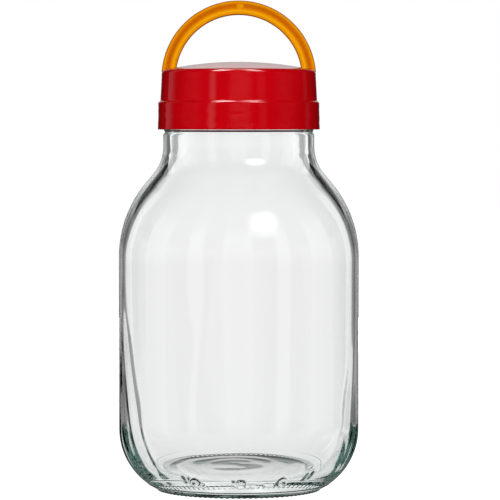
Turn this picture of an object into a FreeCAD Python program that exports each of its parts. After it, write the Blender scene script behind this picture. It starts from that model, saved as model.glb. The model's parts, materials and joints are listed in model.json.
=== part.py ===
import FreeCAD, Part
import math
import os

# Wide-mouth glass storage jar with a two-tier screw cap and a hoop carry handle.
# Row frame: +Z up, origin at the centre of the jar's bearing ring, X across the handle, Y through it. Millimetres.
# Three pieces: jar_glass (one glass body with its threaded finish), cap (one plastic moulding) and handle (one plastic hoop).

V = FreeCAD.Vector

# ---------------------------------------------------------------- glass body, outside
BODY_R = 74.6            # straight side wall
SIDE_Z0 = 38.1           # side wall starts above the heel
SIDE_Z1 = 145.2          # and ends under the shoulder
HEEL_R = 41.2            # heel's outer radius
RING_R_OUT = 50.7        # bearing ring that the jar stands on
RING_R_IN = 46.4
RING_EDGE_Z = 0.90       # the ring's outer edge is eased up to the heel
PUSH_UP_Z = 4.2          # height of the concave underside at its centre
SHOULDER_R = 71.5        # convex shoulder
SHOULDER_DEG = 39.7      # its slope where it meets the throat
THROAT_L = 8.2           # straight part between shoulder and throat
THROAT_R = 25.9          # concave throat
NECK_Z1 = 220.0          # top of the plain neck band
BAND_DROP_Z = 2.4        # the band rounds in to the finish over this height

# ---------------------------------------------------------------- glass finish (under the cap)
ROOT_R = 45.6            # thread root
RIM_Z = 252.5            # sealing rim
RIM_ROUND = 1.6
MOUTH_R = 41.8
THREAD_H = 2.1           # glass thread's height over the root
THREAD_W = 2.6           # axial width at the root
THREAD_PITCH = 6.0
THREAD_TURNS = 1.35
THREAD_Z = 230.1         # centre of the thread's lower end
THREAD_FROM = 28.0       # where round the neck it starts, degrees from +X

# ---------------------------------------------------------------- glass body, inside
FLOOR_Z = 7.0            # inner floor beside its dome
FLOOR_DOME = 2.0         # the floor rises this much at the centre
FLOOR_R = 37.0           # inner heel starts here
IN_HEEL_R = 32.8
IN_SIDE_R0 = FLOOR_R + IN_HEEL_R     # lower wall is thick
IN_SIDE_R1 = 71.7        # wall thins upward
IN_SIDE_Z1 = 104.0
IN_SHOULDER_R = 68.6     # inner shoulder, a thicker wall than the side
IN_SHOULDER_Z = 143.6
IN_THROAT_R = 27.0
IN_NECK_Z = 214.6        # inner throat ends here

# ---------------------------------------------------------------- cap
CAP_Z0 = 224.4           # lower edge of the skirt
LOW_R0 = 50.3           # lower tier at the edge
LOW_R1 = 50.0           # lower tier under its shoulder
STEP_Z = 241.9           # ledge between the tiers
STEP_ROUND = 1.3
FLARE_R = 0.9            # hollow fillet at the foot of the upper tier
UP_R0 = 48.65            # upper tier at its foot
UP_R1 = 47.8            # upper tier under the rim
RIM_CAP_Z = 261.6        # top edge of the upper tier
CAP_ROUND = 1.6
DOME_Z = 266.3           # crown of the domed top
CAP_WALL = 1.8
SEAL_R_IN = 43.1         # seal ring that hangs on to the glass rim
SEAL_R_OUT = 44.3
CAP_THREAD_H = 1.45
CAP_THREAD_W = 1.8
CAP_THREAD_GAP = 0.12    # axial gap to the glass thread's lower flank
CAP_THREAD_TURNS = 1.15

# ---------------------------------------------------------------- handle
HOOP_Z = 256.2           # centre of the hoop
HOOP_R_OUT = 48.0
HOOP_R_IN = 39.2
HOOP_DEPTH = 8.4         # size along Y
HOOP_EDGE = 1.1          # rounding of the section's corners
GROOVE_DEPTH = 1.9       # hollow in the front and in the back face
GROOVE_MARGIN_OUT = 1.5  # plain rim outside the hollow
GROOVE_MARGIN_IN = 1.7
TONGUE_X0 = 40.8         # snap tongue under each leg
TONGUE_X1 = 42.7
TONGUE_Y = 5.0
TONGUE_Z0 = 255.1
SLOT_GAP = 0.08
BARB = 0.30
GATE_W = 4.6             # small plain moulding pad in the hollow at the crown
GATE_H = 2.4


def pt(r, z):
    return V(r, 0, z)


def line(a, b):
    return Part.LineSegment(pt(*a), pt(*b)).toShape()


def arc_about(c, rad, a0, a1):
    """Arc about c from a0 to a1 degrees in the XZ plane, 0 along +X and 90 along +Z."""
    am = (a0 + a1) / 2.0
    p = [pt(c[0] + rad * math.cos(math.radians(a)), c[1] + rad * math.sin(math.radians(a))) for a in (a0, am, a1)]
    return Part.Arc(*p).toShape()


def arc3(a, b, c):
    return Part.Arc(pt(*a), pt(*b), pt(*c)).toShape()


def crown(r, z_edge, z_mid):
    """Shallow dome's arc from its edge at radius r to its middle on the axis. Its centre is on the axis."""
    h = z_mid - z_edge
    rad = (r * r + h * h) / (2 * h)
    c = z_mid - rad
    return arc3((r, z_edge), (r * 0.5, c + math.sqrt(rad * rad - r * r * 0.25)), (0, z_mid))


def revolve(edges):
    wire = Part.Wire(Part.sortEdges(edges)[0])
    face = Part.Face(wire)
    s = face.revolve(V(0, 0, 0), V(0, 0, 1), 360)
    return s if s.ShapeType == "Solid" else Part.Solid(s.Shells[0])


def one_solid(shape, name):
    found = shape.Solids
    if len(found) != 1:
        raise RuntimeError("%s has %d solids" % (name, len(found)))
    s = found[0]
    if s.Volume < 0:
        s.reverse()
    if not s.isValid():
        s = s.copy()
        s.fix(0.01, 0.01, 0.01)
    if not s.isValid():
        raise RuntimeError(name + " isn't valid")
    return s


# ---------------------------------------------------------------- jar_glass
th = math.radians(SHOULDER_DEG)
heel_c = (BODY_R - HEEL_R, SIDE_Z0)
heel_a0 = -math.degrees(math.asin((SIDE_Z0 - RING_EDGE_Z) / HEEL_R))
heel_foot = (heel_c[0] + HEEL_R * math.cos(math.radians(heel_a0)), RING_EDGE_Z)
sh_c = (BODY_R - SHOULDER_R, SIDE_Z1)
sh_end = (sh_c[0] + SHOULDER_R * math.cos(th), SIDE_Z1 + SHOULDER_R * math.sin(th))
th_start = (sh_end[0] - THROAT_L * math.sin(th), sh_end[1] + THROAT_L * math.cos(th))
th_c = (th_start[0] + THROAT_R * math.cos(th), th_start[1] + THROAT_R * math.sin(th))
NECK_R = th_c[0] - THROAT_R
neck_z0 = th_c[1]
band_c_z = NECK_Z1

out = [
    crown(RING_R_IN, 0, PUSH_UP_Z),
    line((RING_R_IN, 0), (RING_R_OUT, 0)),
    line((RING_R_OUT, 0), heel_foot),
    arc_about(heel_c, HEEL_R, heel_a0, 0),
    line((BODY_R, SIDE_Z0), (BODY_R, SIDE_Z1)),
    arc_about(sh_c, SHOULDER_R, 0, SHOULDER_DEG),
    line(sh_end, th_start),
    arc_about(th_c, THROAT_R, 180 + SHOULDER_DEG, 180),
    line((NECK_R, neck_z0), (NECK_R, NECK_Z1)),
    arc3((NECK_R, NECK_Z1), (NECK_R - 0.35, NECK_Z1 + 1.5), (ROOT_R, NECK_Z1 + BAND_DROP_Z)),
    line((ROOT_R, NECK_Z1 + BAND_DROP_Z), (ROOT_R, RIM_Z - RIM_ROUND)),
    arc_about((ROOT_R - RIM_ROUND, RIM_Z - RIM_ROUND), RIM_ROUND, 0, 90),
    line((ROOT_R - RIM_ROUND, RIM_Z), (MOUTH_R + RIM_ROUND, RIM_Z)),
    arc_about((MOUTH_R + RIM_ROUND, RIM_Z - RIM_ROUND), RIM_ROUND, 90, 180),
]

# inner shoulder: an arc on the inner side wall, then a straight run tangent to it and to the inner throat arc
in_sh_c = (IN_SIDE_R1 - IN_SHOULDER_R, IN_SHOULDER_Z)
in_th_c = (MOUTH_R + IN_THROAT_R, IN_NECK_Z)
dx, dz = in_th_c[0] - in_sh_c[0], in_th_c[1] - in_sh_c[1]
a_in = math.atan2(dz, dx) - math.acos((IN_SHOULDER_R + IN_THROAT_R) / math.hypot(dx, dz))
a_in_deg = math.degrees(a_in)
p_in1 = (in_sh_c[0] + IN_SHOULDER_R * math.cos(a_in), in_sh_c[1] + IN_SHOULDER_R * math.sin(a_in))
p_in2 = (in_th_c[0] - IN_THROAT_R * math.cos(a_in), in_th_c[1] - IN_THROAT_R * math.sin(a_in))

inner = [
    line((MOUTH_R, RIM_Z - RIM_ROUND), (MOUTH_R, IN_NECK_Z)),
    arc_about(in_th_c, IN_THROAT_R, 180, 180 + a_in_deg),
    line(p_in2, p_in1),
    arc_about(in_sh_c, IN_SHOULDER_R, a_in_deg, 0),
    line((IN_SIDE_R1, IN_SHOULDER_Z), (IN_SIDE_R1, IN_SIDE_Z1)),
    line((IN_SIDE_R1, IN_SIDE_Z1), (IN_SIDE_R0, FLOOR_Z + IN_HEEL_R)),
    arc_about((FLOOR_R, FLOOR_Z + IN_HEEL_R), IN_HEEL_R, 0, -90),
    crown(FLOOR_R, FLOOR_Z, FLOOR_Z + FLOOR_DOME),
    line((0, FLOOR_Z + FLOOR_DOME), (0, PUSH_UP_Z)),
]
glass = revolve(out + inner)


def helix_rib(r_root, height, width, z_start, turns, pitch, inward=False, bury=0.5):
    """A thread rib of trapezoid section swept on a helix of that pitch, from THREAD_FROM on. It is buried a little in its wall."""
    tip = width * 0.42
    sgn = -1 if inward else 1
    r0, r1 = r_root - sgn * bury, r_root + sgn * height
    foot = width / 2 + bury * 0.35
    pts = [V(r0, 0, z_start - foot), V(r1, 0, z_start - tip / 2), V(r1, 0, z_start + tip / 2), V(r0, 0, z_start + foot)]
    prof = Part.makePolygon(pts + [pts[0]])
    path = Part.makeHelix(pitch, pitch * turns, r_root)
    path.translate(V(0, 0, z_start))
    sweep = Part.Wire(path).makePipeShell([prof], True, True)
    sweep.rotate(V(0, 0, 0), V(0, 0, 1), THREAD_FROM)
    return one_solid(sweep, "thread rib")


glass_rib = helix_rib(ROOT_R, THREAD_H, THREAD_W, THREAD_Z, THREAD_TURNS, THREAD_PITCH)
glass = one_solid(glass.fuse(glass_rib), "jar_glass")

# ---------------------------------------------------------------- cap
dome_r0 = UP_R1 - CAP_ROUND
dome_h = DOME_Z - RIM_CAP_Z
dome_rad = (dome_r0 ** 2 + dome_h ** 2) / (2 * dome_h)
dome_cz = DOME_Z - dome_rad


def dome_z(r, drop=0.0):
    return dome_cz + math.sqrt((dome_rad - drop) ** 2 - r * r)


skirt_in = LOW_R0 - CAP_WALL - 0.1                     # 48.4
up_in0, up_in1 = UP_R0 - CAP_WALL - 0.15, UP_R1 - CAP_WALL
led_z = STEP_Z - CAP_WALL                              # underside of the ledge
plate = 2.0
seal_top_in = dome_z(SEAL_R_IN, plate)
seal_top_out = dome_z(SEAL_R_OUT, plate)
top_in_z = dome_z(up_in1 - 0.8, plate)
s45 = math.sqrt(0.5)
cap_edges = [
    line((skirt_in, CAP_Z0), (LOW_R0 - 0.35, CAP_Z0)),
    arc3((LOW_R0 - 0.35, CAP_Z0), (LOW_R0 - 0.35 * (1 - s45), CAP_Z0 + 0.35 * (1 - s45)), (LOW_R0, CAP_Z0 + 0.35)),
    line((LOW_R0, CAP_Z0 + 0.35), (LOW_R1, STEP_Z - STEP_ROUND)),
    arc3((LOW_R1, STEP_Z - STEP_ROUND), (LOW_R1 - STEP_ROUND * (1 - s45), STEP_Z - STEP_ROUND * (1 - s45)), (LOW_R1 - STEP_ROUND, STEP_Z)),
]
# hollow fillet at the upper tier's foot
cap_edges += [
    line((LOW_R1 - STEP_ROUND, STEP_Z), (UP_R0 + 0.02, STEP_Z + 0.03)),
    line((UP_R0 + 0.02, STEP_Z + 0.03), (UP_R0 - 0.03, STEP_Z + FLARE_R * 0.5)),
    line((UP_R0 - 0.03, STEP_Z + FLARE_R * 0.5), (UP_R1, RIM_CAP_Z - CAP_ROUND)),
]
cap_edges += [
    arc_about((UP_R1 - CAP_ROUND, RIM_CAP_Z - CAP_ROUND), CAP_ROUND, 0, 90),
    arc3((dome_r0, RIM_CAP_Z), (dome_r0 * 0.5, dome_z(dome_r0 * 0.5)), (0, DOME_Z)),
    line((0, DOME_Z), (0, DOME_Z - plate)),
    arc3((0, DOME_Z - plate), (SEAL_R_IN * 0.5, dome_z(SEAL_R_IN * 0.5, plate)), (SEAL_R_IN, seal_top_in)),
    line((SEAL_R_IN, seal_top_in), (SEAL_R_IN, RIM_Z + 0.02)),
    line((SEAL_R_IN, RIM_Z + 0.02), (SEAL_R_OUT, RIM_Z + 0.02)),
    line((SEAL_R_OUT, RIM_Z + 0.02), (SEAL_R_OUT, seal_top_out)),
    arc3((SEAL_R_OUT, seal_top_out), ((SEAL_R_OUT + up_in1 - 0.8) / 2, dome_z((SEAL_R_OUT + up_in1 - 0.8) / 2, plate)), (up_in1 - 0.8, top_in_z)),
    arc3((up_in1 - 0.8, top_in_z), (up_in1 - 0.8 * (1 - s45), top_in_z - 0.8 * (1 - s45)), (up_in1, top_in_z - 0.8)),
    line((up_in1, top_in_z - 0.8), (up_in0, STEP_Z + 0.2)),
    line((up_in0, STEP_Z + 0.2), (skirt_in - 0.25, led_z - 0.4)),
    line((skirt_in - 0.25, led_z - 0.4), (skirt_in, CAP_Z0)),
]
cap = revolve(cap_edges)
thread_r = skirt_in - 0.12
cap_rib_z = THREAD_Z - THREAD_W / 2 - CAP_THREAD_W / 2 - CAP_THREAD_GAP + 0.35
cap_rib = helix_rib(thread_r, CAP_THREAD_H, CAP_THREAD_W, cap_rib_z, CAP_THREAD_TURNS, THREAD_PITCH, inward=True, bury=0.4)
cap = one_solid(cap.fuse(cap_rib), "cap")


def box(x0, x1, y0, y1, z0, z1):
    return Part.makeBox(x1 - x0, y1 - y0, z1 - z0, V(x0, y0, z0))


for side in (-1, 1):
    x0, x1 = sorted((side * (TONGUE_X0 - SLOT_GAP), side * (TONGUE_X1 + SLOT_GAP)))
    cap = cap.cut(box(x0, x1, -TONGUE_Y / 2 - SLOT_GAP, TONGUE_Y / 2 + SLOT_GAP, TONGUE_Z0 - 0.3, DOME_Z))
cap = one_solid(cap, "cap")

# ---------------------------------------------------------------- handle
def hoop_section():
    """Closed section in the XY plane at z = HOOP_Z, centred on y = 0: rounded corners and a hollow in both faces."""
    r0, r1, h, e = HOOP_R_IN, HOOP_R_OUT, HOOP_DEPTH / 2, HOOP_EDGE
    gi, go, g = r0 + GROOVE_MARGIN_IN, r1 - GROOVE_MARGIN_OUT, GROOVE_DEPTH
    gm = gi + (go - gi) * 0.56                         # the hollow is deepest outside its middle

    def q(x, y):
        return V(x, y, HOOP_Z)

    def corner(cx, cy, sx, sy):
        a, b = (q(cx + sx * e, cy), q(cx, cy + sy * e))
        m = q(cx + sx * e * s45, cy + sy * e * s45)
        return a, m, b

    a1, m1, b1 = corner(r1 - e, h - e, 1, 1)
    a2, m2, b2 = corner(r0 + e, h - e, -1, 1)
    a3, m3, b3 = corner(r0 + e, -h + e, -1, -1)
    a4, m4, b4 = corner(r1 - e, -h + e, 1, -1)
    parts = [
        Part.LineSegment(a4, a1), Part.Arc(a1, m1, b1),
        Part.LineSegment(b1, q(go, h)), Part.Arc(q(go, h), q(gm, h - g), q(gi, h)), Part.LineSegment(q(gi, h), b2),
        Part.Arc(b2, m2, a2), Part.LineSegment(a2, a3), Part.Arc(a3, m3, b3),
        Part.LineSegment(b3, q(gi, -h)), Part.Arc(q(gi, -h), q(gm, -h + g), q(go, -h)), Part.LineSegment(q(go, -h), b4),
        Part.Arc(b4, m4, a4),
    ]
    return Part.Face(Part.Wire(Part.sortEdges([p.toShape() for p in parts])[0]))


hoop = hoop_section().revolve(V(0, 0, HOOP_Z), V(0, 1, 0), -180)
hoop = one_solid(hoop, "hoop")
# the legs are cut off on the cap's domed top and rim rounding
rc = (UP_R1 - CAP_ROUND, RIM_CAP_Z - CAP_ROUND)
foot = (rc[0] + CAP_ROUND * s45, rc[1] + CAP_ROUND * s45)
low = HOOP_Z - 20
under = revolve([
    line((0, low), (HOOP_R_OUT + 10, low)),
    line((HOOP_R_OUT + 10, low), (HOOP_R_OUT + 10, foot[1])),
    line((HOOP_R_OUT + 10, foot[1]), foot),
    arc_about(rc, CAP_ROUND, 45, 90),
    arc3((dome_r0, RIM_CAP_Z), (dome_r0 * 0.5, dome_z(dome_r0 * 0.5)), (0, DOME_Z)),
    line((0, DOME_Z), (0, low)),
])
handle = hoop.cut(under)
for side in (-1, 1):
    x0, x1 = sorted((side * TONGUE_X0, side * TONGUE_X1))
    tongue = box(x0, x1, -TONGUE_Y / 2, TONGUE_Y / 2, TONGUE_Z0, dome_z(TONGUE_X0) + 1.2)
    barb_top = dome_z(TONGUE_X0, plate) - 0.2
    barb_pts = [V(side * TONGUE_X0, 0, barb_top), V(side * (TONGUE_X0 - BARB), 0, barb_top), V(side * TONGUE_X0, 0, TONGUE_Z0 + 0.3)]
    barb = Part.Face(Part.makePolygon(barb_pts + [barb_pts[0]])).extrude(V(0, TONGUE_Y - 1, 0))
    barb.translate(V(0, -(TONGUE_Y - 1) / 2, 0))
    handle = handle.fuse(tongue).fuse(barb)
# plain moulding pad across the hollow at the crown, front and back
pad_z = HOOP_Z + HOOP_R_IN + GROOVE_MARGIN_IN + 1.9
for side in (-1, 1):
    y0, y1 = sorted((side * (HOOP_DEPTH / 2 - GROOVE_DEPTH - 0.4), side * (HOOP_DEPTH / 2 - 0.75)))
    pad = box(-GATE_W / 2, GATE_W / 2, y0, y1, pad_z, pad_z + GATE_H)
    handle = handle.fuse(pad)
handle = one_solid(handle, "handle")

os.makedirs("parts", exist_ok=True)
for name, shape in (("jar_glass", glass), ("cap", cap), ("handle", handle)):
    shape.exportStep("parts/" + name + ".step")
    b = shape.BoundBox
    print("%-10s volume %9.0f mm3  x %.2f..%.2f  y %.2f..%.2f  z %.2f..%.2f  faces %d valid %s" % (
        name, shape.Volume, b.XMin, b.XMax, b.YMin, b.YMax, b.ZMin, b.ZMax, len(shape.Faces), shape.isValid()))

# brimful volume: the inner profile closed at the rim
cavity = revolve(inner[:-1] + [line((0, FLOOR_Z + FLOOR_DOME), (0, RIM_Z - RIM_ROUND)), line((0, RIM_Z - RIM_ROUND), (MOUTH_R, RIM_Z - RIM_ROUND))])
print("neck radius %.2f, neck from z %.1f, brimful %.3f litres, inner slope %.1f deg" % (NECK_R, neck_z0, abs(cavity.Volume) / 1e6, a_in_deg))
pairs = (("glass/cap", glass, cap), ("glass/handle", glass, handle), ("cap/handle", cap, handle))
for n, a, b in pairs:
    c = a.common(b)
    print("overlap %s: %.4f mm3" % (n, c.Volume if c.Solids else 0.0))
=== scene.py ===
import bpy
import json
import math
import random
import numpy as np
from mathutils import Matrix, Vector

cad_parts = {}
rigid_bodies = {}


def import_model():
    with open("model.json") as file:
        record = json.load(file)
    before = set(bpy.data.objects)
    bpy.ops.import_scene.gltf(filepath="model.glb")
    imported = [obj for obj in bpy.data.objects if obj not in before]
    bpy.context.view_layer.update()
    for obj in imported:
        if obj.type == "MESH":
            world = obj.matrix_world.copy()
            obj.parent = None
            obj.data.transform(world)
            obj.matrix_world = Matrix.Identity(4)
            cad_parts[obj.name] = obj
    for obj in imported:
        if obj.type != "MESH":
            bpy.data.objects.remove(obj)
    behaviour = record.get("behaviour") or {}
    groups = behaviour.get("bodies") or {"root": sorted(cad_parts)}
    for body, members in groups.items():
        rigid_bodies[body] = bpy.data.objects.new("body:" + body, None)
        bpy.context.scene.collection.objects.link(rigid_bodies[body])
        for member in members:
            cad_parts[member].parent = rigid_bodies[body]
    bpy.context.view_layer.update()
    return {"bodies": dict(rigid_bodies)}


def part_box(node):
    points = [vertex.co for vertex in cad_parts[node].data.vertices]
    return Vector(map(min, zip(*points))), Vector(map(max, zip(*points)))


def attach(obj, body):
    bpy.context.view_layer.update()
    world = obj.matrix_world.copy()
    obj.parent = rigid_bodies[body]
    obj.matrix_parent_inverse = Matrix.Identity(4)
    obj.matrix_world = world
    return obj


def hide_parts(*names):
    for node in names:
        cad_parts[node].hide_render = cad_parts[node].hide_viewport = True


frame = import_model()

MM = 0.001
root = frame["bodies"]
j_lo, j_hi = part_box("jar_glass")
c_lo, c_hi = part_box("cap")
h_lo, h_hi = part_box("handle")

BODY_R = (j_hi.x - j_lo.x) / 2 / MM          # 74.6
RIM_Z = j_hi.z / MM                          # 252.5
CAP_Z0 = c_lo.z / MM                         # 224.4
DOME_Z = c_hi.z / MM                         # 266.3
TOP_Z = h_hi.z / MM                          # 304.2


# ------------------------------------------------------------------ small helpers
def smooth(a, b, x):
    t = np.clip((np.asarray(x, float) - a) / (b - a), 0.0, 1.0)
    return t * t * (3 - 2 * t)


def arc(cx, cz, r, a0, a1, n, first=True):
    a = np.radians(np.linspace(a0, a1, n + 1))
    if not first:
        a = a[1:]
    return [(cx + r * math.cos(t), cz + r * math.sin(t)) for t in a]


def seg(p, q, n, first=False):
    t = np.linspace(0, 1, n + 1)
    if not first:
        t = t[1:]
    return [(p[0] + (q[0] - p[0]) * s, p[1] + (q[1] - p[1]) * s) for s in t]


def make_object(name, verts, faces, material, smooth_shade=True):
    me = bpy.data.meshes.new(name)
    me.from_pydata([tuple(v) for v in verts], [], faces)
    me.validate()
    me.polygons.foreach_set("use_smooth", [smooth_shade] * len(me.polygons))
    me.update()
    o = bpy.data.objects.new(name, me)
    bpy.context.scene.collection.objects.link(o)
    me.materials.append(material)
    return o


def lathe_faces(rows, starts, counts):
    """Quads between neighbouring rings, and two triangles and a quad's worth where the count halves or doubles."""
    faces = []
    for i in range(rows - 1):
        a, b, na, nb = starts[i], starts[i + 1], counts[i], counts[i + 1]
        if na == 1 and nb > 1:
            faces += [(a, b + j, b + (j + 1) % nb) for j in range(nb)]
        elif nb == 1 and na > 1:
            faces += [(a + j, b, a + (j + 1) % na) for j in range(na)]
        elif na == nb:
            faces += [(a + j, b + j, b + (j + 1) % na, a + (j + 1) % na) for j in range(na)]
        elif na == 2 * nb:
            for j in range(nb):
                k, k1, k2 = a + 2 * j, a + 2 * j + 1, a + (2 * j + 2) % na
                p, q = b + j, b + (j + 1) % nb
                faces += [(k, p, k1), (k1, p, q), (k1, q, k2)]
        elif nb == 2 * na:
            for j in range(na):
                k, k1, k2 = b + 2 * j, b + 2 * j + 1, b + (2 * j + 2) % nb
                p, q = a + j, a + (j + 1) % na
                faces += [(p, k, k1), (p, k1, q), (q, k1, k2)]
        else:
            raise RuntimeError("ring counts don't match")
    return faces


# ------------------------------------------------------------------ glass body
SIDE_Z0, SIDE_Z1 = 38.1, 145.2
HEEL_R = 41.2
SH_R, SH_DEG, TH_L, TH_R = 71.5, 39.7, 8.2, 25.9
HEEL_C = (BODY_R - HEEL_R, SIDE_Z0)
N_FINE, N = 540, 270
FOOT_R = 48.2                # the foot's ring of small ribs
RIBS = 90


def outer_profile():
    """(r, z, ring count) from the middle of the underside up to the root of the finish under the cap, and the neck's
    radius.
    """
    out = []

    def add(pts, n):
        out.extend((p[0], p[1], n) for p in pts)

    # concave underside up to the foot
    h, r = 2.0, 46.6
    for s in np.linspace(0, 1, 17)[1:]:
        rr = r * s
        out.append((rr, h * (0.5 + 0.5 * math.cos(math.pi * s)), N if rr < 42 else N_FINE))
    # foot: ribbed bearing band, outer bevel
    add([(47.3, 0.0), (48.0, 0.0), (48.7, 0.0), (49.4, 0.0), (50.0, 0.0), (50.5, 0.03), (50.85, 0.20), (51.1, 0.50)], N_FINE)
    # heel: up to the mould's bottom joint, a small lip and a fine groove, then up to the side wall
    add(arc(HEEL_C[0], HEEL_C[1], HEEL_R, -64.2, -57.0, 7), N_FINE)
    add(arc(HEEL_C[0], HEEL_C[1], HEEL_R, -56.5, -53.9, 6), N_FINE)
    add(arc(HEEL_C[0], HEEL_C[1], HEEL_R, -53.2, -26.0, 30), N_FINE)
    add(arc(HEEL_C[0], HEEL_C[1], HEEL_R, -24.0, 0.0, 12), N)
    add(seg((BODY_R, SIDE_Z0), (BODY_R, SIDE_Z1), 10), N)
    sc = (BODY_R - SH_R, SIDE_Z1)
    add(arc(sc[0], sc[1], SH_R, 0, SH_DEG, 18, first=False), N)
    th = math.radians(SH_DEG)
    e = (sc[0] + SH_R * math.cos(th), sc[1] + SH_R * math.sin(th))
    s = (e[0] - TH_L * math.sin(th), e[1] + TH_L * math.cos(th))
    add(seg(e, s, 3), N)
    tc = (s[0] + TH_R * math.cos(th), s[1] + TH_R * math.sin(th))
    add(arc(tc[0], tc[1], TH_R, 180 + SH_DEG, 180, 14, first=False), N)
    nr = tc[0] - TH_R
    # plain band, a shallow dip under the cap, then the transfer bead and the root of the finish
    add([(nr, tc[1] + 1.8), (nr, 219.6), (nr - 0.02, 220.8), (nr - 0.10, 221.4), (nr - 0.45, 222.0), (nr - 0.85, 222.6), (nr - 0.90, 223.1), (nr - 0.60, 223.6)], N)
    add([(nr - 0.40, 224.0), (nr - 0.45, 224.4), (nr - 0.9, 224.9)], N)
    return out, nr


def bead_ring(phi, n=RIBS):
    return np.cos(phi * n)


def marks(phi, z):
    """Plain raised bars, dots and rings on the front of the heel. phi is from -Y towards +X, z in mm. Returns height in mm."""
    h = np.zeros_like(phi)
    u = phi * 66.0                                        # arc length at the heel, mm

    def bar(u0, z0, w, l, tilt=0.0):
        c, s = math.cos(tilt), math.sin(tilt)
        a = (u - u0) * c + (z - z0) * s
        b = -(u - u0) * s + (z - z0) * c
        return (1 - smooth(w / 2 - 0.35, w / 2 + 0.35, np.abs(a))) * (1 - smooth(l / 2 - 0.35, l / 2 + 0.35, np.abs(b)))

    def ring(u0, z0, r, w):
        d = np.hypot(u - u0, (z - z0))
        return 1 - smooth(w / 2 - 0.35, w / 2 + 0.45, np.abs(d - r))

    def dot(u0, z0, r):
        d = np.hypot(u - u0, (z - z0))
        return 1 - smooth(r - 0.5, r + 0.5, d)

    for args in ((-35.0, 12.4, 1.5, 5.0, 0.25), (-31.6, 11.8, 1.5, 5.0, 0.25), (-3.4, 10.4, 1.4, 4.6, 0.0)):
        h = np.maximum(h, bar(*args))
    for args in ((-27.6, 11.0, 2.2, 1.3), (1.2, 10.4, 2.2, 1.3), (27.3, 11.4, 2.4, 1.3)):
        h = np.maximum(h, ring(*args))
    for args in ((-23.6, 9.4, 1.2), (5.6, 8.8, 1.0), (8.8, 8.8, 1.0)):
        h = np.maximum(h, dot(*args))
    for args in ((19.0, 9.4, 5.6, 1.4, -0.1), (43.0, 13.6, 1.5, 5.4, -0.4), (47.0, 14.6, 1.5, 5.4, -0.4)):
        h = np.maximum(h, bar(*args))
    return h * 0.78


prof_out, NECK_R = outer_profile()
ROOT_R = 45.6

# finish under the cap: root with a helical ridge, the sealing rim
finish = [(ROOT_R + 0.1, 225.5, N)]
z = 226.5
while z < 247.5:
    finish.append((ROOT_R, z, N))
    z += 1.1
finish += [(ROOT_R, 248.5, N), (ROOT_R, 249.9, N)]
finish += [(p[0], p[1], N) for p in arc(ROOT_R - 1.9, RIM_Z - 1.9, 1.9, 15, 90, 5)]
MOUTH_R = 41.8
finish += [(MOUTH_R + 1.9, RIM_Z, N)]
finish += [(p[0], p[1], N) for p in arc(MOUTH_R + 1.9, RIM_Z - 1.9, 1.9, 105, 180, 5)]

# inside, from the mouth down to the floor
IN_SIDE_R1, IN_SH_R, IN_SH_Z = 71.75, 67.4, 142.9
IN_TH_R, IN_NECK_Z = 29.0, 213.4
sc = (IN_SIDE_R1 - IN_SH_R, IN_SH_Z)
tc = (MOUTH_R + IN_TH_R, IN_NECK_Z)
dx, dz = tc[0] - sc[0], tc[1] - sc[1]
a_in = math.atan2(dz, dx) - math.acos((IN_SH_R + IN_TH_R) / math.hypot(dx, dz))
a_deg = math.degrees(a_in)
p1 = (sc[0] + IN_SH_R * math.cos(a_in), sc[1] + IN_SH_R * math.sin(a_in))
p2 = (tc[0] - IN_TH_R * math.cos(a_in), tc[1] - IN_TH_R * math.sin(a_in))
FLOOR_Z, FLOOR_R = 6.8, 37.6
inside = seg((MOUTH_R, RIM_Z - 3), (MOUTH_R, IN_NECK_Z), 8, first=True)
inside += arc(tc[0], tc[1], IN_TH_R, 180, 180 + a_deg, 14, first=False)
inside += seg(p2, p1, 3)
inside += arc(sc[0], sc[1], IN_SH_R, a_deg, 0, 18, first=False)
IN_LOW = (71.2, 45.0)
for t in np.linspace(0, 1, 17)[1:]:
    inside.append((IN_SIDE_R1 + (IN_LOW[0] - IN_SIDE_R1) * t * t, IN_SH_Z + (IN_LOW[1] - IN_SH_Z) * t))
for t in np.radians(np.linspace(0, 90, 25)[1:]):      # thick heel, opening into the floor
    inside.append((FLOOR_R + (IN_LOW[0] - FLOOR_R) * math.cos(t), IN_LOW[1] - (IN_LOW[1] - FLOOR_Z) * math.sin(t)))
for s in np.linspace(1, 0, 18)[1:-1]:
    inside.append((FLOOR_R * s, FLOOR_Z + 0.9 * (1 + math.cos(math.pi * s))))
inside = [(r, z, N) for r, z in inside]


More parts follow.
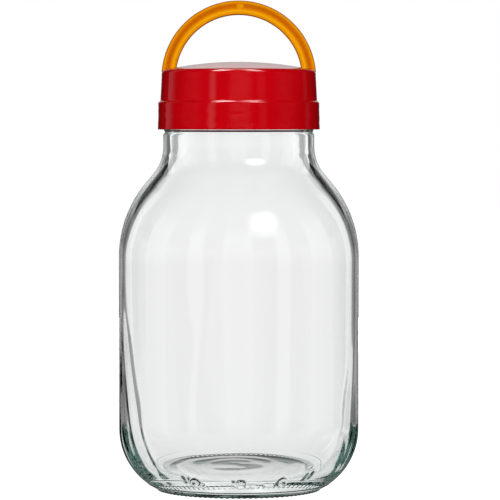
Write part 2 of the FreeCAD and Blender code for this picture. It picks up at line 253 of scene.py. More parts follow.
def build_glass():
    rng = np.random.RandomState(11)
    waves = []                                    # uneven inner wall: slow lobes round and up the jar
    for k in range(16):
        m = rng.randint(1, 4)
        wz = rng.uniform(0.5, 1.6)
        waves.append((m, wz, rng.uniform(0, 2 * math.pi), rng.uniform(0, 2 * math.pi), rng.normal() / (1.0 + 0.5 * m + 0.25 * wz)))
    streaks = []                                  # groups of shallow upright flow lines, low on the wall
    for k in range(20):
        streaks.append((rng.uniform(-math.pi, math.pi), rng.uniform(0.05, 0.13), rng.uniform(30, 95), rng.uniform(22, 60), rng.normal() * 0.16, rng.uniform(-0.25, 0.25)))
    for side in (-1, 1):                          # narrow flow lines fanning out over the heel at the sides
        for k in range(12):
            streaks.append((side * rng.uniform(1.05, 1.85), rng.uniform(0.022, 0.05), rng.uniform(24, 52), rng.uniform(10, 24), rng.normal() * 0.15, rng.uniform(-0.3, 0.3)))
    streaks += [(-1.10, 0.045, 70, 45, 0.75, -0.285), (-1.18, 0.03, 62, 36, -0.55, -0.285), (-1.02, 0.025, 55, 30, 0.35, -0.30), (1.12, 0.05, 58, 22, 0.40, 0.28)]
    streaks += [(-1.45, 0.07, 70, 40, 0.30, 0.10), (-1.28, 0.06, 55, 34, -0.26, -0.15), (-1.62, 0.08, 90, 40, 0.22, 0.2), (1.32, 0.07, 50, 30, 0.22, 0.1), (1.52, 0.06, 80, 50, 0.18, -0.1)]

    verts, starts, counts = [], [], []

    def ring(r, z, n, radial=None, dr=None, dz=None):
        starts.append(len(verts))
        counts.append(n)
        if n == 1:
            verts.append((0, 0, z * MM))
            return
        phi = np.linspace(0, 2 * math.pi, n, endpoint=False)
        rr = np.full(n, float(r))
        zz = np.full(n, float(z))
        if dr is not None:
            rr = rr + dr(phi)
        if dz is not None:
            zz = zz + dz(phi)
        for a, b, c in zip(rr, zz, phi):
            verts.append((a * math.sin(c) * MM, -a * math.cos(c) * MM, b * MM))

    def wrap(phi):                                # angle from -Y towards +X, in -pi..pi
        return (phi + math.pi) % (2 * math.pi) - math.pi

    ring(0, 2.0, 1)
    for r, z, n in prof_out:
        dr = dz = None
        if z < 0.6 and 45.0 < r < 51.3:
            # bearing band: short radial ribs, highest in the band's middle
            w = float(smooth(47.6, 48.8, r) * (1 - smooth(50.3, 51.4, r)))
            dz = lambda p, w=w: (1 - (0.5 + 0.5 * bead_ring(p)) ** 0.7) * 0.95 * w
            if r > 50.2:
                dr = lambda p: -(1 - (0.5 + 0.5 * bead_ring(p))) * 0.50
        elif 51.0 <= r and z < 3.60:
            w = float(1 - smooth(51.2, 52.7, r))
            dr = lambda p, w=w: -(1 - (0.5 + 0.5 * bead_ring(p))) * 0.42 * w
        elif 3.60 <= z < 4.90:
            lip = 0.40 * math.exp(-((z - 3.85) / 0.28) ** 2) - 0.24 * math.exp(-((z - 4.45) / 0.25) ** 2)
            dr = lambda p, lip=lip: np.full_like(p, lip)
        elif 4.90 <= z < 21.5:
            ang = math.atan2(z - HEEL_C[1], r - HEEL_C[0])
            ca, sa = math.cos(ang), math.sin(ang)
            dr = lambda p, z=z, ca=ca: marks(wrap(p), np.full_like(p, z)) * ca
            dz = lambda p, z=z, sa=sa: marks(wrap(p), np.full_like(p, z)) * sa
        ring(r, z, n, dr=dr, dz=dz)
    for r, z, n in finish:
        dr = None
        if 226 < z < 248.5:
            def dr(p, z=z):
                # right-handed ridge, one and a third turns at 6 mm
                out = np.zeros_like(p)
                for turn in range(-1, 3):
                    zc = 230.1 + 6.0 * (p / (2 * math.pi) + turn)
                    pos = p / (2 * math.pi) + turn
                    on = smooth(0.0, 0.06, pos) * (1 - smooth(1.29, 1.35, pos))
                    out = np.maximum(out, on * 2.0 * (1 - smooth(0.5, 1.5, np.abs(z - zc))))
                return out
        ring(r, z, n, dr=dr)
    for r, z, n in inside:
        low = float(1 - smooth(60, 150, z))
        amp = 0.010 + 0.022 * low
        if z > 205:
            amp = 0.02

        def dr(p, z=z, amp=float(amp)):
            s = np.zeros_like(p)
            for m, wz, a, b, g in waves:
                s += g * np.cos(m * p + a) * np.cos(wz * z / 62.0 + b)
            out = amp * (0.35 + 0.6 * s)
            if 200 < z < 250:                             # the neck's finer unevenness
                out = out + 0.016 * float(smooth(200, 208, z)) * (np.cos(31 * p + 1.8 * math.sin(z * 0.9) + 0.4) + 0.8 * np.cos(47 * p + 2.3 * math.sin(z * 0.55 + 2.0)) * np.cos(3 * p + 0.3 * z))
            belt = smooth(146, 158, z) * (1 - smooth(196, 206, z))      # faint rings round the shoulder
            out = out + float(belt) * 0.035 * np.cos(2 * math.pi * z / 26.0 + 1.6 * np.cos(p - 0.4) + 0.9 * np.cos(2 * p))
            q = wrap(p)
            edge = 0.12 + 0.88 * smooth(0.18, 0.5, np.abs(wrap(2 * q - math.pi)) / 2)
            edge = edge + (1.25 - edge) * float(1 - smooth(32, 50, z))
            for c, w, zc, zw, g, sl in streaks:
                d = wrap(q - c - sl * (z - zc) / 75.0)
                out = out + 0.6 * edge * g * np.exp(-(d / w) ** 2) * math.exp(-((z - zc) / zw) ** 2)
            return -np.maximum(out, -0.6)
        dz = None
        if z < FLOOR_Z + 14 and r < 62:
            def dz(p, r=r):
                # flow lines in the thick floor
                t = (r / 62.0)
                s = 0.30 * np.cos(3 * p + 5.5 * t + 0.8) + 0.22 * np.cos(2 * p - 7 * t + 2.0) + 0.20 * np.cos(9.0 * t * math.pi + 2 * np.sin(p + 0.6))
                return s * float(smooth(0.03, 0.25, t)) * 0.60
            base = dr
            k = float(smooth(30, 62, r))
            dr = lambda p, base=base, k=k: base(p) * k
        ring(r, z, n, dr=dr, dz=dz)
    ring(0, FLOOR_Z + 1.8, 1)
    faces = lathe_faces(len(starts), starts, counts)
    return verts, faces


# ------------------------------------------------------------------ materials
def new_material(name):
    m = bpy.data.materials.new(name)
    m.use_nodes = True
    nt = m.node_tree
    nt.nodes.clear()
    out = nt.nodes.new("ShaderNodeOutputMaterial")
    return m, nt, out


def glass_material():
    m, nt, out = new_material("clear_jar_glass")
    b = nt.nodes.new("ShaderNodeBsdfPrincipled")
    b.inputs["Base Color"].default_value = (1, 1, 1, 1)
    b.inputs["Roughness"].default_value = 0.0
    b.inputs["IOR"].default_value = 1.5
    b.inputs["Transmission Weight"].default_value = 1.0
    v = nt.nodes.new("ShaderNodeVolumeAbsorption")
    v.inputs["Color"].default_value = (0.50, 0.76, 0.70, 1)
    v.inputs["Density"].default_value = 12.0
    nt.links.new(b.outputs["BSDF"], out.inputs["Surface"])
    nt.links.new(v.outputs["Volume"], out.inputs["Volume"])
    return m


def red_material():
    m, nt, out = new_material("red_moulded_plastic")
    b = nt.nodes.new("ShaderNodeBsdfPrincipled")
    b.inputs["IOR"].default_value = 1.49
    tc = nt.nodes.new("ShaderNodeTexCoord")
    n1 = nt.nodes.new("ShaderNodeTexNoise")
    n1.inputs["Scale"].default_value = 38.0
    n1.inputs["Detail"].default_value = 2.0
    ramp = nt.nodes.new("ShaderNodeValToRGB")
    ramp.color_ramp.elements[0].position = 0.3
    ramp.color_ramp.elements[0].color = (0.560, 0.0004, 0.0040, 1)
    ramp.color_ramp.elements[1].position = 0.7
    ramp.color_ramp.elements[1].color = (0.61, 0.0006, 0.0052, 1)
    nt.links.new(tc.outputs["Object"], n1.inputs["Vector"])
    nt.links.new(n1.outputs["Fac"], ramp.inputs["Fac"])
    nt.links.new(ramp.outputs["Color"], b.inputs["Base Color"])
    n2 = nt.nodes.new("ShaderNodeTexNoise")
    n2.inputs["Scale"].default_value = 900.0
    n2.inputs["Detail"].default_value = 3.0
    mr = nt.nodes.new("ShaderNodeMapRange")
    mr.inputs["To Min"].default_value = 0.08
    mr.inputs["To Max"].default_value = 0.12
    nt.links.new(tc.outputs["Object"], n2.inputs["Vector"])
    nt.links.new(n2.outputs["Fac"], mr.inputs["Value"])
    nt.links.new(mr.outputs["Result"], b.inputs["Roughness"])
    bump = nt.nodes.new("ShaderNodeBump")
    bump.inputs["Strength"].default_value = 0.05
    bump.inputs["Distance"].default_value = 0.0002
    nt.links.new(n2.outputs["Fac"], bump.inputs["Height"])
    nt.links.new(bump.outputs["Normal"], b.inputs["Normal"])
    nt.links.new(b.outputs["BSDF"], out.inputs["Surface"])
    return m


def orange_material():
    m, nt, out = new_material("orange_moulded_plastic")
    b = nt.nodes.new("ShaderNodeBsdfPrincipled")
    b.inputs["IOR"].default_value = 1.22
    b.inputs["Roughness"].default_value = 0.42
    b.inputs["Specular IOR Level"].default_value = 0.28
    # Base colour paints light and shade from the handle's per-vertex shade value: the near-black stop paints shade on
    # the rounded corners, the stop at 0.2 paints shade in each face's hollow, and the top stop is the plain orange of
    # the lit rim; the noise adds a random tone.
    at = nt.nodes.new("ShaderNodeAttribute")
    at.attribute_name = "painted_shade"
    ramp = nt.nodes.new("ShaderNodeValToRGB")
    ramp.color_ramp.elements[0].position = 0.0
    ramp.color_ramp.elements[0].color = (0.16, 0.035, 0.0, 1)
    # painted shade of the hollow
    painted_hollow_shade = ramp.color_ramp.elements.new(0.2)
    painted_hollow_shade.color = (0.60, 0.135, 0.0, 1)
    ramp.color_ramp.elements[2].position = 1.0
    ramp.color_ramp.elements[2].color = (0.93, 0.40, 0.0015, 1)
    tc = nt.nodes.new("ShaderNodeTexCoord")
    n1 = nt.nodes.new("ShaderNodeTexNoise")
    n1.inputs["Scale"].default_value = 60.0
    n1.inputs["Detail"].default_value = 3.0
    nt.links.new(tc.outputs["Object"], n1.inputs["Vector"])
    ad = nt.nodes.new("ShaderNodeMath")
    ad.operation = "MULTIPLY_ADD"
    ad.inputs[1].default_value = 0.16
    nt.links.new(n1.outputs["Fac"], ad.inputs[0])
    sub = nt.nodes.new("ShaderNodeMath")
    sub.operation = "SUBTRACT"
    sub.inputs[1].default_value = 0.08
    nt.links.new(at.outputs["Fac"], sub.inputs[0])
    nt.links.new(sub.outputs["Value"], ad.inputs[2])
    nt.links.new(ad.outputs["Value"], ramp.inputs["Fac"])
    nt.links.new(ramp.outputs["Color"], b.inputs["Base Color"])
    n2 = nt.nodes.new("ShaderNodeTexNoise")
    n2.inputs["Scale"].default_value = 700.0
    n2.inputs["Detail"].default_value = 2.0
    nt.links.new(tc.outputs["Object"], n2.inputs["Vector"])
    bump = nt.nodes.new("ShaderNodeBump")
    bump.inputs["Strength"].default_value = 0.08
    bump.inputs["Distance"].default_value = 0.0002
    nt.links.new(n2.outputs["Fac"], bump.inputs["Height"])
    nt.links.new(bump.outputs["Normal"], b.inputs["Normal"])
    nt.links.new(b.outputs["BSDF"], out.inputs["Surface"])
    return m


GLASS, RED, ORANGE = glass_material(), red_material(), orange_material()

v, f = build_glass()
glass = make_object("jar_glass_body", v, f, GLASS)
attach(glass, "root")
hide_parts("jar_glass")


# ------------------------------------------------------------------ cap
LOW_R0, LOW_R1, STEP_Z, UP_R0, UP_R1, RIM_CAP_Z = 50.3, 50.0, 241.9, 48.65, 47.8, 261.6
CAP_ROUND = 2.5
dome_r0 = UP_R1 - CAP_ROUND
dome_h = DOME_Z - RIM_CAP_Z
dome_rad = (dome_r0 ** 2 + dome_h ** 2) / (2 * dome_h)
dome_c = DOME_Z - dome_rad


def dome_z(r, drop=0.0):
    return dome_c + math.sqrt((dome_rad - drop) ** 2 - r * r)


def cap_profile():
    p = []
    zi = CAP_Z0
    p += [(48.4, zi + 0.25), (48.65, zi + 0.02), (49.85, zi)]
    p += arc(49.85, zi + 0.45, 0.45, -90, 0, 4, first=False)
    p += seg((LOW_R0, zi + 0.45), (LOW_R1, STEP_Z - 1.3), 12)
    p += arc(LOW_R1 - 1.3, STEP_Z - 1.3, 1.3, 0, 82, 6, first=False)
    p += [(UP_R0 + 0.30, STEP_Z + 0.03), (UP_R0 + 0.14, STEP_Z + 0.12), (UP_R0 + 0.04, STEP_Z + 0.32), (UP_R0 - 0.02, STEP_Z + 0.7)]
    p += seg((UP_R0 - 0.02, STEP_Z + 0.7), (UP_R1, RIM_CAP_Z - CAP_ROUND), 12)
    p += arc(UP_R1 - CAP_ROUND, RIM_CAP_Z - CAP_ROUND, CAP_ROUND, 0, 76, 8, first=False)
    for s in np.linspace(1, 0, 19)[1:-1]:
        p.append((dome_r0 * s, dome_z(dome_r0 * s)))
    n_out = len(p)
    # inside: plate, seal ring, wall, ledge, skirt with a thread
    for s in np.linspace(0, 1, 9)[1:]:
        p.append((43.1 * s, dome_z(43.1 * s, 2.0)))
    p += [(43.1, 253.1), (43.3, 252.56), (44.1, 252.56), (44.3, 253.1), (44.3, dome_z(44.3, 2.0))]
    p += [(45.2, dome_z(45.2, 2.0) - 0.1), (45.8, dome_z(45.2, 2.0) - 0.6), (45.95, dome_z(45.2, 2.0) - 1.4)]
    p += seg((45.95, 256.5), (46.7, STEP_Z + 0.2), 6, first=True)
    p += [(48.0, STEP_Z - 2.1), (48.25, STEP_Z - 2.9)]
    z0 = STEP_Z - 3.4
    while z0 > zi + 0.6:
        p.append((48.35, z0))
        z0 -= 0.7
    return p, n_out


def build_cap():
    rng = np.random.RandomState(5)
    p, n_out = cap_profile()
    n = 320
    verts, starts, counts = [], [], []
    phi = np.linspace(0, 2 * math.pi, n, endpoint=False)
    lobes = [(rng.randint(3, 22), rng.uniform(0, 6.28), rng.normal()) for _ in range(12)]
    lobes_z = [(rng.randint(2, 16), rng.uniform(0, 6.28), rng.normal()) for _ in range(8)]
    for i, (r, z) in enumerate(p):
        starts.append(len(verts))
        if i == n_out:
            # crown point between outside and inside
            verts.append((0, 0, DOME_Z * MM))
            counts.append(1)
            starts.append(len(verts))
            verts.append((0, 0, (DOME_Z - 2.0) * MM))
            counts.append(1)
            starts.append(len(verts))
        counts.append(n)
        rr = np.full(n, float(r))
        if i < n_out and r > 45:
            # faint sinks where the wall shrank on to the thread and the ribs inside
            w = float(smooth(CAP_Z0 + 0.6, CAP_Z0 + 4, z) * (1 - smooth(STEP_Z - 5, STEP_Z - 1.5, z)))
            w2 = float(smooth(STEP_Z + 1.5, STEP_Z + 6, z) * (1 - smooth(RIM_CAP_Z - 6, RIM_CAP_Z - 2, z)))
            s = sum(g * np.cos(m * phi + a) for m, a, g in lobes)
            s2 = sum(g * np.cos(m * phi + a) for m, a, g in lobes_z)
            helix = np.cos((z - 228.1 - 6.0 * phi / (2 * math.pi)) / 6.0 * 2 * math.pi)
            wob = np.cos(13 * phi + 1.0 + 2.4 * math.sin(z * 1.15) + 1.1 * math.sin(z * 0.43 + 1.0))
            rr = rr - w * (0.10 + 0.012 * s + 0.030 * helix + 0.075 * wob) - w2 * (0.03 + 0.008 * s2 + 0.022 * wob)
        if i > n_out and r == 48.35:
            out = np.zeros(n)
            for turn in range(-1, 3):
                pos = phi / (2 * math.pi) + turn
                zc = 228.13 + 6.0 * pos
                on = smooth(0.0, 0.05, pos) * (1 - smooth(1.1, 1.15, pos))
                out = np.maximum(out, on * 1.4 * (1 - smooth(0.35, 1.0, np.abs(z - zc))))
            rr = rr - out
        for a, c in zip(rr, phi):
            verts.append((a * math.sin(c) * MM, -a * math.cos(c) * MM, z * MM))
    faces = lathe_faces(n_out + 1, starts[:n_out + 1], counts[:n_out + 1])
    k = n_out + 1
    faces += lathe_faces(len(starts) - k, starts[k:], counts[k:])
    a, b = starts[-1], starts[0]
    faces += [(a + j, b + j, b + (j + 1) % n, a + (j + 1) % n) for j in range(n)]
    return verts, faces


v, f = build_cap()
cap = make_object("screw_cap", v, f, RED)
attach(cap, "root")
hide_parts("cap")


# ------------------------------------------------------------------ handle
HOOP_Z, HOOP_OUT, HOOP_IN, HOOP_D = 256.2, 48.0, 39.2, 8.4


def hoop_outline():
    """Closed section: (radius, y, shade value). The value paints light and shade: 1 is the plain orange of the lit
    raised rim, 0 paints the shade in the hollow, and the rounded corners are painted darker still.
    """
    r0, r1, h, e = HOOP_IN, HOOP_OUT, HOOP_D / 2, 1.0
    pts = []

    def painted_edge_shade(a, inner):
        """Along a rounded corner: a is 0 on the rim's plain side and 90 on the face. The corner itself gets a darker
        value, which paints shade into it.
        """
        return 0.40 - 0.60 * float(smooth(5, 20, a)) + (inner + 0.20) * float(smooth(40, 75, a))

    def face(sign):
        """Across one face from the outer to the inner edge: rounded rim, hollow, raised inner rib."""
        w = r1 - r0
        out = []
        # columns: s across the face from the outer edge, d depth into the face, and the shade value, low where shade is
        # painted in the hollow and high on the lit rim and rib
        for s, d, painted_shade in ((0.115, 0.0, 0.76), (0.16, 0.06, 0.74), (0.20, 0.28, 0.62), (0.25, 0.75, 0.46), (0.30, 1.25, 0.26), (0.36, 1.62, 0.05),
                           (0.42, 1.72, 0.0), (0.48, 1.55, 0.12), (0.54, 1.20, 0.34), (0.60, 0.82, 0.60), (0.66, 0.48, 0.84), (0.72, 0.22, 1.0),
                           (0.77, 0.10, 1.0), (0.80, 0.12, 0.86), (0.83, 0.17, 0.66), (0.86, 0.13, 0.72), (0.89, 0.04, 0.84)):
            out.append((r1 - w * s, sign * (h - d), painted_shade))
        return out

    for a in np.linspace(0, 90, 6):
        pts.append((r1 - e + e * math.cos(math.radians(a)), h - e + e * math.sin(math.radians(a)), painted_edge_shade(a, 0.55)))
    pts += face(1)
    for a in np.linspace(90, 180, 6):
        pts.append((r0 + e + e * math.cos(math.radians(a)), h - e + e * math.sin(math.radians(a)), painted_edge_shade(180 - a, 0.72)))
    for a in np.linspace(180, 270, 6):
        pts.append((r0 + e + e * math.cos(math.radians(a)), -h + e + e * math.sin(math.radians(a)), painted_edge_shade(a - 180, 0.72)))
    pts += face(-1)[::-1]
    for a in np.linspace(270, 360, 6)[:-1]:
        pts.append((r1 - e + e * math.cos(math.radians(a)), -h + e + e * math.sin(math.radians(a)), painted_edge_shade(360 - a, 0.55)))
    # the last corner ends where the outline starts
    pts.append((r1, -h + e, 0.40))
    return [(r, y, 0.2 + 0.8 * t) for r, y, t in pts]


def surface_z(x, y):
    """Height of the cap's top at x, y, in mm."""
    r = math.hypot(x, y)
    if r <= dome_r0:
        return dome_z(r)
    t = min(1.0, (r - dome_r0) / CAP_ROUND)
    return RIM_CAP_Z - CAP_ROUND + CAP_ROUND * math.sqrt(max(0.0, 1 - t * t))


def build_handle():
    sec = hoop_outline()
    steps = 200
    verts, painted_shades, faces = [], [], []
    ends = []
    for r, y, painted_shade in sec:
        lo, hi = 0.0, math.radians(20)
        for _ in range(40):
            mid = (lo + hi) / 2
            x, z = r * math.cos(mid), HOOP_Z + r * math.sin(mid)
            if z > surface_z(x, y) - 0.25:
                hi = mid
            else:
                lo = mid
        ends.append(max(hi, math.asin(min(1.0, (RIM_CAP_Z - 1.45 - HOOP_Z) / r))))
    m = len(sec)
    for i in range(steps + 1):
        t = i / steps
        for (r, y, painted_shade), e in zip(sec, ends):
            a = e + (math.pi - 2 * e) * t
            # plain raised pad at the crown, in the hollow's upper half
            yy = y
            u = (a - math.pi / 2) * 45.0                   # mm along the crown
            s = (HOOP_OUT - r) / (HOOP_OUT - HOOP_IN)
            pad = (1 - smooth(1.9, 2.6, abs(u + 0.9))) * smooth(0.26, 0.34, s) * (1 - smooth(0.46, 0.56, s))
            stem = (1 - smooth(0.5, 1.1, abs(u + 0.9))) * smooth(0.40, 0.48, s) * (1 - smooth(0.60, 0.72, s))
            k = max(float(pad), float(stem) * 0.9)
            if abs(y) < HOOP_D / 2 - 0.2 and 0.18 < s < 0.8:
                yy = y + math.copysign(min(1.25, HOOP_D / 2 - 0.25 - abs(y)), y) * k
            verts.append((r * math.cos(a) * MM, yy * MM, (HOOP_Z + r * math.sin(a)) * MM))
            # the raised pad is painted lighter, like the lit rim, over the hollow's painted shade
            painted_shades.append(painted_shade + (0.85 - painted_shade) * k * 0.9)
    for i in range(steps):
        for j in range(m):
            a, b = i * m + j, i * m + (j + 1) % m
            faces.append((a, b, b + m, a + m))
    # feet
    for i, flip in ((0, True), (steps, False)):
        base = i * m
        cx = sum(verts[base + j][0] for j in range(m)) / m
        cz = sum(verts[base + j][2] for j in range(m)) / m
        c = len(verts)
        verts.append((cx, 0, cz))
        # the foot's centre gets a middling painted shade value
        painted_shades.append(0.68)
        for j in range(m):
            a, b = base + j, base + (j + 1) % m
            faces.append((a, c, b) if flip else (a, b, c))
    return verts, faces, painted_shades


v, f, painted_shades = build_handle()
handle = make_object("carry_handle", v, f, ORANGE)
# per-vertex values that paint light and shade on the handle, read by its material
att = handle.data.attributes.new("painted_shade", "FLOAT", "POINT")
att.data.foreach_set("value", painted_shades)
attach(handle, "root")
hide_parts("handle")

for o in (glass, cap, handle):
    me = o.data
    import bmesh
    bm = bmesh.new()
    bm.from_mesh(me)
    bmesh.ops.recalc_face_normals(bm, faces=bm.faces)
    bm.to_mesh(me)
    bm.free()
    me.update()

# ------------------------------------------------------------------ floor
fm, nt, out = new_material("pale_floor")
b = nt.nodes.new("ShaderNodeBsdfPrincipled")
b.inputs["Base Color"].default_value = (0.90, 0.90, 0.90, 1)
b.inputs["Roughness"].default_value = 1.0
b.inputs["Specular IOR Level"].default_value = 0.0
b.inputs["Emission Color"].default_value = (1, 1, 1, 1)
b.inputs["Emission Strength"].default_value = 0.93
nt.links.new(b.outputs["BSDF"], out.inputs["Surface"])
bpy.ops.mesh.primitive_circle_add(vertices=96, radius=6.0, fill_type="NGON", location=(0, 0, -0.00002))
floor = bpy.context.object
floor.name = "floor"
floor.data.materials.append(fm)
floor.visible_transmission = False
floor.visible_glossy = False
floor.visible_diffuse = False

# ------------------------------------------------------------------ world
world = bpy.data.worlds.new("studio")
bpy.context.scene.world = world
world.use_nodes = True
world.cycles.sampling_method = "NONE"
nt = world.node_tree
nt.nodes.clear()
wout = nt.nodes.new("ShaderNodeOutputWorld")
L = nt.links.new


def math_node(op, a, b=None, c=None, clamp=False):
    n = nt.nodes.new("ShaderNodeMath")
    n.operation = op
    n.use_clamp = clamp
    for i, v in enumerate((a, b, c)):
        if v is None:
            continue
        if isinstance(v, (int, float)):
            n.inputs[i].default_value = v
        else:
            L(v, n.inputs[i])
    return n.outputs[0]


def smooth_node(x, a, b, lo, hi):
    n = nt.nodes.new("ShaderNodeMapRange")
    n.interpolation_type = "SMOOTHSTEP"
    for k, v in (("From Min", a), ("From Max", b), ("To Min", lo), ("To Max", hi)):
        n.inputs[k].default_value = v
    L(x, n.inputs["Value"])
    return n.outputs["Result"]


tc = nt.nodes.new("ShaderNodeTexCoord")
sp = nt.nodes.new("ShaderNodeSeparateXYZ")
L(tc.outputs["Generated"], sp.inputs[0])
X, Y, Z = sp.outputs
lp = nt.nodes.new("ShaderNodeLightPath")
az = math_node("ARCTAN2", X, Y)                        # 0 towards +Y
el = math_node("ARCSINE", Z)
deg = math.radians
az_abs = math_node("ABSOLUTE", az)
# light seen through the glass: a pale surround with darker gaps between its panels
per = math_node("ABSOLUTE", math_node("WRAP", az, deg(45.0), deg(-45.0)))
lit = math_node("ADD", smooth_node(per, deg(12.0), deg(15.0), 1.0, 0.0), smooth_node(per, deg(37.0), deg(39.0), 0.0, 1.0))
gap_floor = math_node("ADD", smooth_node(el, deg(3.0), deg(5.5), 0.50, 0.30), smooth_node(el, deg(9.5), deg(11.5), 0.0, 0.20))
gap_floor = math_node("MULTIPLY", gap_floor, smooth_node(el, deg(13.0), deg(16.5), 1.0, 0.04))
gap_floor = math_node("MULTIPLY", gap_floor, smooth_node(per, deg(22.0), deg(27.0), 1.0, 0.30))
gap = math_node("MINIMUM", math_node("ADD", lit, gap_floor), 1.0)
gap = math_node("MULTIPLY", gap, smooth_node(per, deg(5.0), deg(11.0), 1.0, 1.18))
gap = math_node("MULTIPLY", gap, smooth_node(el, deg(-3.0), deg(0.5), 1.0, 1.05))
gap_low = smooth_node(el, deg(-22.0), deg(-10.0), 1.0, 0.0)
through = math_node("MAXIMUM", gap, gap_low)
high = smooth_node(el, deg(28.0), deg(42.0), 0.97, 0.12)
through = math_node("MULTIPLY", math_node("MULTIPLY", through, high), 1.015)
# light reflected by the plastic and the glass: backdrop behind, dark room round it


def window(v, a0, a1, b1, b0):
    """1 between a1 and b1, 0 outside a0 and b0."""
    return math_node("MULTIPLY", smooth_node(v, a0, a1, 0.0, 1.0), smooth_node(v, b1, b0, 1.0, 0.0))


front = math_node("ARCTAN2", X, math_node("MULTIPLY", Y, -1.0))   # 0 towards -Y, positive towards +X


def blob(azimuth, elevation, w, h, soft, value):
    """Soft-edged oval panel: half sizes w and h in degrees."""
    du = math_node("DIVIDE", math_node("SUBTRACT", front, deg(azimuth)), deg(w))
    dv = math_node("DIVIDE", math_node("SUBTRACT", el, deg(elevation)), deg(h))
    d = math_node("POWER", math_node("ADD", math_node("POWER", math_node("ABSOLUTE", du), 2.4), math_node("POWER", math_node("ABSOLUTE", dv), 2.4)), 1 / 2.4)
    return smooth_node(d, 1.0 - soft, 1.0 + soft, value, 0.0)


key_spot = blob(28, 37.3, 15, 8.5, 0.45, 4.5)
back = smooth_node(az_abs, deg(14.0), deg(22.0), 1.0, 0.0)
back = math_node("MULTIPLY", back, smooth_node(el, deg(4.0), deg(24.0), 0.55, 1.15))
back = math_node("MULTIPLY", back, smooth_node(el, deg(1.5), deg(5.0), 0.10, 1.0))
back = math_node("MULTIPLY", back, smooth_node(el, deg(35.0), deg(50.0), 1.0, 0.05))
left = math_node("MULTIPLY", window(front, deg(-129), deg(-127), deg(-122), deg(-104)), 0.30)
left = math_node("MULTIPLY", left, window(el, deg(-12), deg(-6), deg(30), deg(50)))
right = math_node("MULTIPLY", window(front, deg(108), deg(114), deg(118), deg(124)), 0.07)
gloss = math_node("ADD", math_node("ADD", back, left), math_node("ADD", right, key_spot))
gloss = math_node("ADD", gloss, 0.004)
# what the far walls throw back towards the front comes from an even, dimmer room
deep = math_node("GREATER_THAN", lp.outputs["Ray Depth"], 5.5)
straight = math_node("SUBTRACT", 1.0, deep)
level = smooth_node(math_node("ABSOLUTE", el), deg(10.0), deg(16.0), 1.0, 0.0)
far = math_node("MULTIPLY", math_node("SUBTRACT", 1.0, level), math_node("MULTIPLY_ADD", through, 0.38, 0.015))
far = math_node("ADD", far, math_node("MULTIPLY", level, 0.37))
through = math_node("ADD", math_node("MULTIPLY", through, straight), math_node("MULTIPLY", deep, far))
through = math_node("ADD", through, math_node("MULTIPLY", math_node("MULTIPLY", key_spot, straight), 0.6))
diff = 0.12


def emit(value, color=(1, 1, 1, 1)):
    n = nt.nodes.new("ShaderNodeBackground")
    n.inputs["Color"].default_value = color
    if isinstance(value, (int, float)):
        n.inputs["Strength"].default_value = value
    else:
        L(value, n.inputs["Strength"])
    return n.outputs[0]


def mix(fac, a, b):
    n = nt.nodes.new("ShaderNodeMixShader")
    L(fac, n.inputs[0])
    L(a, n.inputs[1])
    L(b, n.inputs[2])
    return n.outputs[0]


s = emit(diff)
s = mix(lp.outputs["Is Glossy Ray"], s, emit(gloss))
s = mix(lp.outputs["Is Transmission Ray"], s, emit(through, (1.0, 0.983, 0.988, 1)))
s = mix(lp.outputs["Is Camera Ray"], s, emit(1.0))
L(s, wout.inputs["Surface"])


# ------------------------------------------------------------------ lights
def softbox(name, azimuth, elevation, dist, w, h, radiance, target=(0, 0, 0.2)):
    """Rectangular light. azimuth is from the camera's side (-Y) towards +X; radiance is what a mirror would show."""
    a, e = math.radians(azimuth), math.radians(elevation)
    d = np.array((math.sin(a) * math.cos(e), -math.cos(a) * math.cos(e), math.sin(e)))
    data = bpy.data.lights.new(name, "AREA")
    data.shape = "RECTANGLE"
    data.size, data.size_y = w, h
    data.energy = radiance * w * h * math.pi
    o = bpy.data.objects.new(name, data)
    bpy.context.scene.collection.objects.link(o)
    from mathutils import Vector
    o.location = Vector(target) + Vector(d.tolist()) * dist
    o.rotation_mode = "QUATERNION"
    o.rotation_quaternion = Vector(d.tolist()).to_track_quat("Z", "Y")
    o.visible_camera = False
    o.visible_transmission = False
    return o


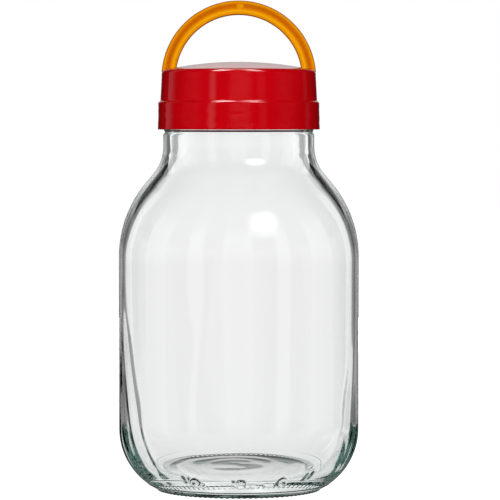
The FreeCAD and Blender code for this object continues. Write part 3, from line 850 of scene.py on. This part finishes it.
only_cap = bpy.data.collections.new("only_cap")
only_cap.objects.link(cap)


def for_cap(o):
    o.light_linking.receiver_collection = only_cap
    return o


front_light = softbox("front", 2, 12, 1.6, 0.9, 0.9, 7.7)
front_light.visible_glossy = False
fill = softbox("fill_back", 180, 6, 1.6, 0.9, 0.9, 5.0)
fill.visible_glossy = False
for side, level in ((-1, 2.3), (1, 1.9)):
    fill = softbox("fill_%s" % ("left" if side < 0 else "right"), side * 72, 10, 1.5, 0.8, 0.8, level)
    fill.visible_glossy = False
strip = for_cap(softbox("strip_front_left", -38, 8, 1.3, 0.13, 0.5, 0.66))
strip_wide = for_cap(softbox("strip_front_left_wide", -38, 8, 1.3, 0.24, 0.5, 0.28))
high_left = for_cap(softbox("high_left", -38, 62, 1.3, 0.30, 0.9, 24.0))
strip2 = for_cap(softbox("strip_front_right", 33, 8, 1.3, 0.12, 0.5, 0.12))
strip2_wide = for_cap(softbox("strip_front_right_wide", 33, 8, 1.3, 0.26, 0.5, 0.10))
high_right = for_cap(softbox("high_right", 33, 62, 1.3, 0.30, 0.9, 15.0))

for o in (high_left, high_right):
    o.visible_diffuse = False

# ------------------------------------------------------------------ camera
cam_data = bpy.data.cameras.new("camera")
cam = bpy.data.objects.new("camera", cam_data)
bpy.context.scene.collection.objects.link(cam)
cam_data.sensor_width = 36
cam_data.lens = 216
DIST, EYE = 1.866, 0.2298
cam.location = (0.0003, -DIST, EYE)
pitch, yaw = math.radians(-2.467), math.radians(-0.205)
cam.rotation_mode = "XYZ"
cam.rotation_euler = (math.pi / 2 + pitch, 0, yaw)
cam_data.clip_start, cam_data.clip_end = 0.05, 60
bpy.context.scene.camera = cam

bpy.context.scene.view_settings.view_transform = "Standard"
bpy.context.scene.view_settings.look = "None"
cy = bpy.context.scene.cycles
cy.max_bounces = 48
cy.transmission_bounces = 40
cy.glossy_bounces = 32
cy.diffuse_bounces = 4

print("tris", {o.name: sum(len(p.vertices) - 2 for p in o.data.polygons) for o in (glass, cap, handle)})
